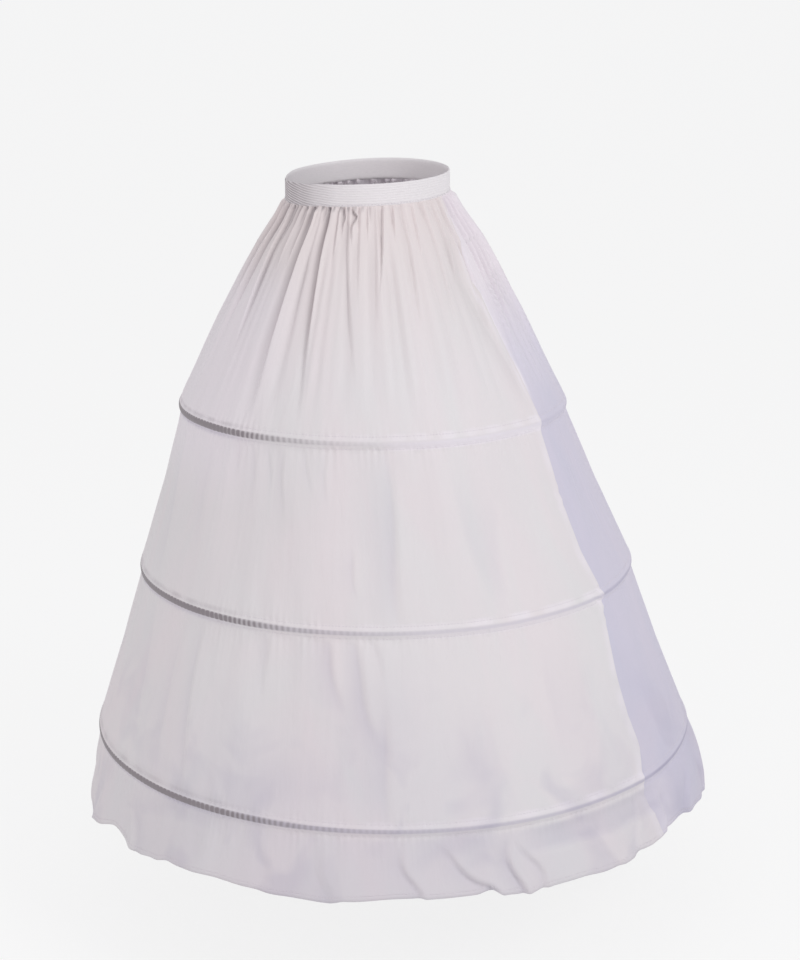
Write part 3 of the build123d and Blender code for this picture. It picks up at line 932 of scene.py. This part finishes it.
def stitch_rows():
    """A node tree that lays a short rounded thread at even steps along every line."""
    tree = bpy.data.node_groups.new("stitch_rows", "GeometryNodeTree")
    add_sockets(tree, (("Lines", "Geometry"), ("Stitch pitch", "Float"), ("Stitch length", "Float"),
                       ("Thread width", "Float"), ("Seed", "Int"), ("Thread", "Material")))
    given = add_node(tree, "NodeGroupInput")
    lines = add_node(tree, "GeometryNodeMeshToCurve", {"Mesh": given.outputs["Lines"]})
    places = add_node(tree, "GeometryNodeCurveToPoints", {
        "Curve": lines.outputs["Curve"], "Length": given.outputs["Stitch pitch"]}, mode="LENGTH")
    along = add_node(tree, "FunctionNodeAlignRotationToVector", {"Vector": places.outputs["Tangent"]},
                     axis="Z")
    uneven = add_node(tree, "FunctionNodeRandomValue", {2: 0.85, 3: 1.1, "Seed": given.outputs["Seed"]},
                      data_type="FLOAT")
    longer = add_node(tree, "ShaderNodeMath", {0: given.outputs["Stitch length"], 1: uneven.outputs[1]},
                      operation="MULTIPLY")
    size = add_node(tree, "ShaderNodeCombineXYZ", {
        "X": given.outputs["Thread width"], "Y": given.outputs["Thread width"], "Z": longer.outputs["Value"]})
    thread = add_node(tree, "GeometryNodeMeshUVSphere", {"Segments": 6, "Rings": 4, "Radius": 0.5})
    laid = add_node(tree, "GeometryNodeInstanceOnPoints", {
        "Points": places.outputs["Points"], "Instance": thread.outputs["Mesh"],
        "Rotation": along.outputs["Rotation"], "Scale": size.outputs["Vector"]})
    real = add_node(tree, "GeometryNodeRealizeInstances", {"Geometry": laid.outputs["Instances"]})
    smooth = add_node(tree, "GeometryNodeSetShadeSmooth", {"Geometry": real.outputs["Geometry"]})
    dressed = add_node(tree, "GeometryNodeSetMaterial", {
        "Geometry": smooth.outputs["Geometry"], "Material": given.outputs["Thread"]})
    add_node(tree, "NodeGroupOutput", {"Geometry": dressed.outputs["Geometry"]})
    return tree


def run_tree(piece, tree, values):
    """Runs a node tree on an object and keeps what it makes as the object's plain mesh."""
    modifier = piece.modifiers.new(tree.name, "NODES")
    modifier.node_group = tree
    sockets = {item.name: item.identifier for item in tree.interface.items_tree if item.in_out == "INPUT"}
    for name, value in values.items():
        modifier[sockets[name]] = value
    evaluated = piece.evaluated_get(bpy.context.evaluated_depsgraph_get())
    made = bpy.data.meshes.new_from_object(evaluated)
    piece.modifiers.remove(modifier)
    piece.data = made


def sewn_rows(name, rings, seed):
    """One piece with a row of stitches round every ring of points."""
    points = []
    edges = []
    for ring in rings:
        first = len(points)
        last = first + len(ring) - 1
        points += ring.tolist()
        edges += [(place, place + 1) for place in range(first, last)] + [(last, first)]
    mesh = bpy.data.meshes.new(name)
    mesh.from_pydata(points, edges, [])
    piece = add_piece(name, mesh)
    run_tree(piece, stitching, {"Stitch pitch": stitch_pitch, "Stitch length": stitch_length,
                                "Thread width": thread_width, "Seed": seed, "Thread": sewing_thread})
    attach(piece, "root")
    return piece


def cloth_row(drop, proud):
    """A line round the outside of the cloth, standing a little proud of it."""
    return skirt_points(around, drop + 0 * around, -proud)


sewing_thread = polyester_thread()
stitching = stitch_rows()
around = np.linspace(0, 2 * math.pi, 1440, endpoint=False)
sewn_rows("hem_stitches", [cloth_row(hem_drop - hem_fold, 0.5 * thread_proud)], seed=5)

# Casings: cotton twill tapes sewn flat round the inside of the panels, one over each hoop.
# Each is stitched along both edges, so it is drawn in a little between the stitches.

casing_names = ("upper_casing", "middle_casing", "lower_casing")
tape_thickness = 0.001
tape_above = 0.0146
tape_below = 0.0126
tape_depth = 0.0061
tape_ease = 0.0014
tape_wave = 0.00025
tape_draw = 0.0002


def tape_points(radius, drop, setback):
    """A flat closed ring of tape: outer side down, lower edge, inner side up, upper edge."""
    turn = np.linspace(0, 2 * math.pi, 480, endpoint=False)
    outer = radius - tape_depth - tape_ease
    inner = outer - tape_thickness
    round_edge = 0.3 * tape_thickness
    top = -band_height / 2 - drop + tape_above
    bottom = -band_height / 2 - drop - tape_below
    middle = (top + bottom) / 2
    ring = ((outer, top - round_edge), (outer, middle), (outer, bottom + round_edge),
            (outer - round_edge, bottom), (inner + round_edge, bottom), (inner, bottom + round_edge),
            (inner, middle), (inner, top - round_edge), (inner + round_edge, top), (outer - round_edge, top))
    drawn_in = tape_wave * ripple(turn, 70, 20, 81) - tape_draw
    rows = []
    for reach, height in ring:
        drawn = reach + drawn_in
        ahead = setback + drawn * np.sin(turn)
        rows.append(np.stack([drawn * np.cos(turn), ahead, height + 0 * turn], axis=-1))
    return np.stack(rows)


def cotton_twill_tape():
    """Bleached cotton twill: matt white with a fine slanting rib."""
    material, tree = new_material("cotton_twill_tape")
    place = add_node(tree, "ShaderNodeTexCoord")
    twill_pitch = 0.0016
    ribs = add_node(tree, "ShaderNodeTexWave", {
        "Vector": place.outputs["Object"], "Scale": wave_scale / twill_pitch, "Distortion": 1.5,
        "Detail": 1.0}, bands_direction="DIAGONAL")
    tint = add_node(tree, "ShaderNodeValToRGB", {"Fac": ribs.outputs["Fac"]})
    tint.color_ramp.elements[0].color = linear("#D2CDD2")
    tint.color_ramp.elements[1].color = linear("#E2DEE2")
    twill = add_node(tree, "ShaderNodeBump", {
        "Height": ribs.outputs["Fac"], "Strength": 0.3, "Distance": 0.0004})
    shader = add_node(tree, "ShaderNodeBsdfPrincipled", {
        "Base Color": tint.outputs["Color"], "Roughness": 0.85, "Normal": twill.outputs["Normal"]})
    finish_material(tree, shader)
    return material


tape_cotton = cotton_twill_tape()
casing_rows = []
for level, casing_name in enumerate(casing_names):
    tape_name = "tape_" + casing_name
    tape_ring = tape_points(hoop_radii[level], hoop_drops[level], hoop_setbacks[level])
    tape = add_piece(tape_name, grid_mesh(tape_name, tape_ring, ring=True), tape_cotton)
    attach(tape, "root")
    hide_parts(casing_name)
    for stitch in (upper_stitch, lower_stitch):
        casing_rows.append(cloth_row(hoop_drops[level] + stitch, 0.0))
sewn_rows("casing_stitches", casing_rows, seed=6)

# Waistband: a band of woven elastic, ribbed along its length, that holds the gathered top of both panels.
# Its ribs run aslant where it is stretched at the front right, and a row of stitches holds its lower edge.

band_thickness = 0.0024
rib_pitch = 0.0033
rib_depth = 0.00042
rib_drift = 8 * rib_pitch
band_edge = 0.0014
outer_rounding = 0.0010
inner_rounding = 0.0008
band_wave = 0.0003
band_row_rise = 0.0028

# How far the band is stretched at each angle, and how strong the painted shade in its rib hollows is
band_stretch_and_shade = ((-180, 0.50), (-150, 1.0), (-125, 1.0), (-112, 0.80), (-96, 0.38), (-80, 0.15),
                (-62, 0.06), (60, 0.06), (140, 0.20), (180, 0.50))


def band_ring(turn, reach, height):
    """One ring of points round the band, which leans forwards and sags a little."""
    ahead = reach * np.sin(turn)
    level = height + math.tan(waist_lean) * ahead - round_curve(turn, waist_sag)
    return np.stack([reach * np.cos(turn), ahead, level], axis=-1)


def plain_band():
    """The band as a closed ring with rounded edges, marked with the place and the depth of its ribs."""
    turn = np.linspace(0, 2 * math.pi, 720, endpoint=False)
    drift = rib_drift * fade(-angle_gap(turn, math.radians(-62)), 0.1, 2.1)
    stretch_and_shade = round_curve(turn, band_stretch_and_shade)
    uneven = band_wave * ripple(turn, 9, 4, 91)
    points = []
    places = []
    depths = []
    for height in np.linspace(-band_height / 2, band_height / 2, 61):
        edge = fade(band_height / 2 - abs(height), 0.0, band_edge)
        points.append(band_ring(turn, waist_radius - outer_rounding * (1 - edge) + edge * uneven, height))
        places.append(height - drift)
        depths.append(edge * (0.35 + 0.65 * stretch_and_shade))
    for height in np.linspace(band_height / 2, -band_height / 2, 9):
        edge = fade(band_height / 2 - abs(height), 0.0, band_edge)
        points.append(band_ring(turn, waist_radius - band_thickness + inner_rounding * (1 - edge), height))
        places.append(0 * turn)
        depths.append(0 * turn)
    mesh = grid_mesh("elastic_waistband", np.stack(points[::-1]), ring=True)
    mark_points(mesh, "rib_place", np.stack(places[::-1]))
    mark_points(mesh, "rib_share", np.stack(depths[::-1]))
    # How strong the painted shade in the rib hollows is
    mark_points(mesh, "stretched", np.stack([stretch_and_shade] * len(points)))
    return mesh


def elastic_ribs():
    """A node tree that raises the elastic's covered cords as ribs, and marks the hollows between them."""
    tree = bpy.data.node_groups.new("elastic_ribs", "GeometryNodeTree")
    add_sockets(tree, (("Band", "Geometry"), ("Rib pitch", "Float"), ("Rib depth", "Float"),
                       ("Elastic", "Material")))
    given = add_node(tree, "NodeGroupInput")
    place = add_node(tree, "GeometryNodeInputNamedAttribute", {"Name": "rib_place"}, data_type="FLOAT")
    share = add_node(tree, "GeometryNodeInputNamedAttribute", {"Name": "rib_share"}, data_type="FLOAT")
    count = add_node(tree, "ShaderNodeMath", {0: place.outputs["Attribute"], 1: given.outputs["Rib pitch"]},
                     operation="DIVIDE")
    phase = add_node(tree, "ShaderNodeMath", {0: count.outputs["Value"], 1: 2 * math.pi},
                     operation="MULTIPLY")
    wave = add_node(tree, "ShaderNodeMath", {0: phase.outputs["Value"]}, operation="COSINE")
    held = add_node(tree, "ShaderNodeMath", {0: wave.outputs["Value"], 1: share.outputs["Attribute"]},
                    operation="MULTIPLY")
    raised = add_node(tree, "ShaderNodeMath", {0: held.outputs["Value"], 1: given.outputs["Rib depth"]},
                      operation="MULTIPLY")
    outward = add_node(tree, "GeometryNodeInputNormal")
    offset = add_node(tree, "ShaderNodeVectorMath", {
        0: outward.outputs["Normal"], "Scale": raised.outputs["Value"]}, operation="SCALE")
    ribbed = add_node(tree, "GeometryNodeSetPosition", {
        "Geometry": given.outputs["Band"], "Offset": offset.outputs["Vector"]})
    hollow = add_node(tree, "ShaderNodeMath", {0: wave.outputs["Value"], 1: -0.5, 2: 0.5},
                      operation="MULTIPLY_ADD")
    marked = add_node(tree, "GeometryNodeStoreNamedAttribute", {
        "Geometry": ribbed.outputs["Geometry"], "Name": "rib_hollow", "Value": hollow.outputs["Value"]},
        data_type="FLOAT", domain="POINT")
    real = add_node(tree, "GeometryNodeRealizeInstances", {"Geometry": marked.outputs["Geometry"]})
    dressed = add_node(tree, "GeometryNodeSetMaterial", {
        "Geometry": real.outputs["Geometry"], "Material": given.outputs["Elastic"]})
    add_node(tree, "NodeGroupOutput", {"Geometry": dressed.outputs["Geometry"]})
    return tree


def woven_elastic():
    """Woven elastic: rubber cords covered in white yarn, matt, with painted shade between the ribs."""
    material, tree = new_material("woven_elastic")
    place = add_node(tree, "ShaderNodeTexCoord")
    yarn_pitch = 0.0012
    flat = add_node(tree, "ShaderNodeMapping", {
        "Vector": place.outputs["Object"], "Scale": (0.25, 0.25, 1.0)})
    yarns = add_node(tree, "ShaderNodeTexNoise", {
        "Vector": flat.outputs["Vector"], "Scale": 1 / yarn_pitch, "Detail": 2.0})
    tint = add_node(tree, "ShaderNodeValToRGB", {"Fac": yarns.outputs["Fac"]})
    tint.color_ramp.elements[0].color = linear("#ECE8EA")
    tint.color_ramp.elements[1].color = linear("#F8F4F5")
    hollow = add_node(tree, "ShaderNodeAttribute", attribute_name="rib_hollow")
    stretched = add_node(tree, "ShaderNodeAttribute", attribute_name="stretched")
    greyer = add_node(tree, "ShaderNodeMapRange", {
        "Value": hollow.outputs["Fac"], "To Min": 0.22, "To Max": 0.82})
    greyed = add_node(tree, "ShaderNodeMath", {0: greyer.outputs["Result"], 1: stretched.outputs["Fac"]},
                      operation="MULTIPLY")
    # Painted shade in the rib hollows, strongest on the side turned from the key light
    shaded = add_node(tree, "ShaderNodeMix", {
        "Factor": greyed.outputs["Value"], "A": tint.outputs["Color"], "B": linear("#8C8386")},
        data_type="RGBA")
    weave = add_node(tree, "ShaderNodeBump", {
        "Height": yarns.outputs["Fac"], "Strength": 0.2, "Distance": 0.0005})
    shader = add_node(tree, "ShaderNodeBsdfPrincipled", {
        "Base Color": shaded.outputs["Result"], "Roughness": 0.8, "Sheen Weight": 0.1,
        "Normal": weave.outputs["Normal"]})
    finish_material(tree, shader)
    return material


waistband = add_piece("elastic_waistband", plain_band())
run_tree(waistband, elastic_ribs(), {
    "Rib pitch": rib_pitch, "Rib depth": rib_depth, "Elastic": woven_elastic()})
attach(waistband, "root")
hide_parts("waistband")

band_row_radius = waist_radius + rib_depth + 0.5 * thread_proud
band_row = band_ring(around, band_row_radius, -band_height / 2 + band_row_rise)
sewn_rows("waistband_stitches", [band_row], seed=7)

# Stage: a plain pale floor below the hem, soft light from the right, and the camera of the photograph.
# The floor and the world look near white to the camera, and light the skirt more dimly than that.

floor_gap = 0.18
floor_level = -band_height / 2 - hem_drop - floor_gap
floor_reach = 160.0


def straight_rays(tree):
    """1 for rays that come from the camera or through gloss or glass, and 0 for those of scattered light."""
    ray = add_node(tree, "ShaderNodeLightPath")
    shiny = add_node(tree, "ShaderNodeMath", {
        0: ray.outputs["Is Camera Ray"], 1: ray.outputs["Is Glossy Ray"]}, operation="MAXIMUM")
    clear = add_node(tree, "ShaderNodeMath", {
        0: shiny.outputs["Value"], 1: ray.outputs["Is Transmission Ray"]}, operation="MAXIMUM")
    return clear.outputs["Value"]


def pale_floor():
    """Painted studio floor: near white to the camera, and still showing the soft shadow."""
    material, tree = new_material("pale_studio_floor")
    paint = add_node(tree, "ShaderNodeBsdfDiffuse", {"Color": linear("#F4F4F4")})
    glow = add_node(tree, "ShaderNodeEmission", {"Color": linear("#FFFFFF"), "Strength": 0.98})
    seen = add_node(tree, "ShaderNodeMath", {0: straight_rays(tree), 1: 0.85}, operation="MULTIPLY")
    mixed = add_node(tree, "ShaderNodeMixShader", {
        0: seen.outputs["Value"], 1: paint.outputs["BSDF"], 2: glow.outputs["Emission"]})
    add_node(tree, "ShaderNodeOutputMaterial", {"Surface": mixed.outputs["Shader"]})
    return material


floor_mesh = bpy.data.meshes.new("floor")
floor_corners = [(-floor_reach, -floor_reach, floor_level), (floor_reach, -floor_reach, floor_level),
                 (floor_reach, floor_reach, floor_level), (-floor_reach, floor_reach, floor_level)]
floor_mesh.from_pydata(floor_corners, [], [(0, 1, 2, 3)])
floor = add_piece("floor", floor_mesh, pale_floor())

world = bpy.data.worlds.new("studio")
world.use_nodes = True
world.node_tree.nodes.clear()
sky = world.node_tree
ambient = add_node(sky, "ShaderNodeBackground", {"Color": linear("#F4F4F8"), "Strength": 0.62})
backdrop = add_node(sky, "ShaderNodeBackground", {"Color": linear("#F7F7F7"), "Strength": 1.0})
sky_mix = add_node(sky, "ShaderNodeMixShader", {
    0: straight_rays(sky), 1: ambient.outputs["Background"], 2: backdrop.outputs["Background"]})
add_node(sky, "ShaderNodeOutputWorld", {"Surface": sky_mix.outputs["Shader"]})
bpy.context.scene.world = world

lamp_target = Vector((0, 0.05, -0.5))
view_turn = math.radians(28)
view_right = Vector((math.cos(view_turn), math.sin(view_turn), 0))
view_ahead = Vector((-math.sin(view_turn), math.cos(view_turn), 0))


def soft_lamp(name, right, back, up, size, power, code):
    """A square soft light, placed from the skirt's middle as the camera sees it, and aimed at the skirt."""
    lamp = bpy.data.lights.new(name, "AREA")
    lamp.size = size
    lamp.energy = power
    lamp.color = linear(code)[:3]
    holder = bpy.data.objects.new(name, lamp)
    holder.location = view_right * right - view_ahead * back + Vector((0, 0, up))
    aim = lamp_target - holder.location
    holder.rotation_euler = aim.to_track_quat("-Z", "Y").to_euler()
    bpy.context.scene.collection.objects.link(holder)


soft_lamp("key_light", 2.4, 2.0, 1.6, 1.4, 37, "#FFFFFF")
soft_lamp("fill_light", -2.4, 2.4, 0.8, 2.2, 20, "#FFF6F6")

camera_distance = 2.7
camera_height = 0.3035 - band_height / 2
camera_side = 0.0449
camera_pitch = 0.2594
photo_focal = 1939
photo_height = 960
lens = bpy.data.cameras.new("photo_camera")
lens.sensor_width = 36.0
lens.lens = lens.sensor_width * photo_focal / photo_height
camera = bpy.data.objects.new("photo_camera", lens)
camera.location = view_right * camera_side - view_ahead * camera_distance + Vector((0, 0, camera_height))
camera.rotation_euler = (math.pi / 2 - camera_pitch, 0, view_turn)
bpy.context.scene.collection.objects.link(camera)
bpy.context.scene.camera = camera
bpy.context.scene.view_settings.view_transform = "Standard"
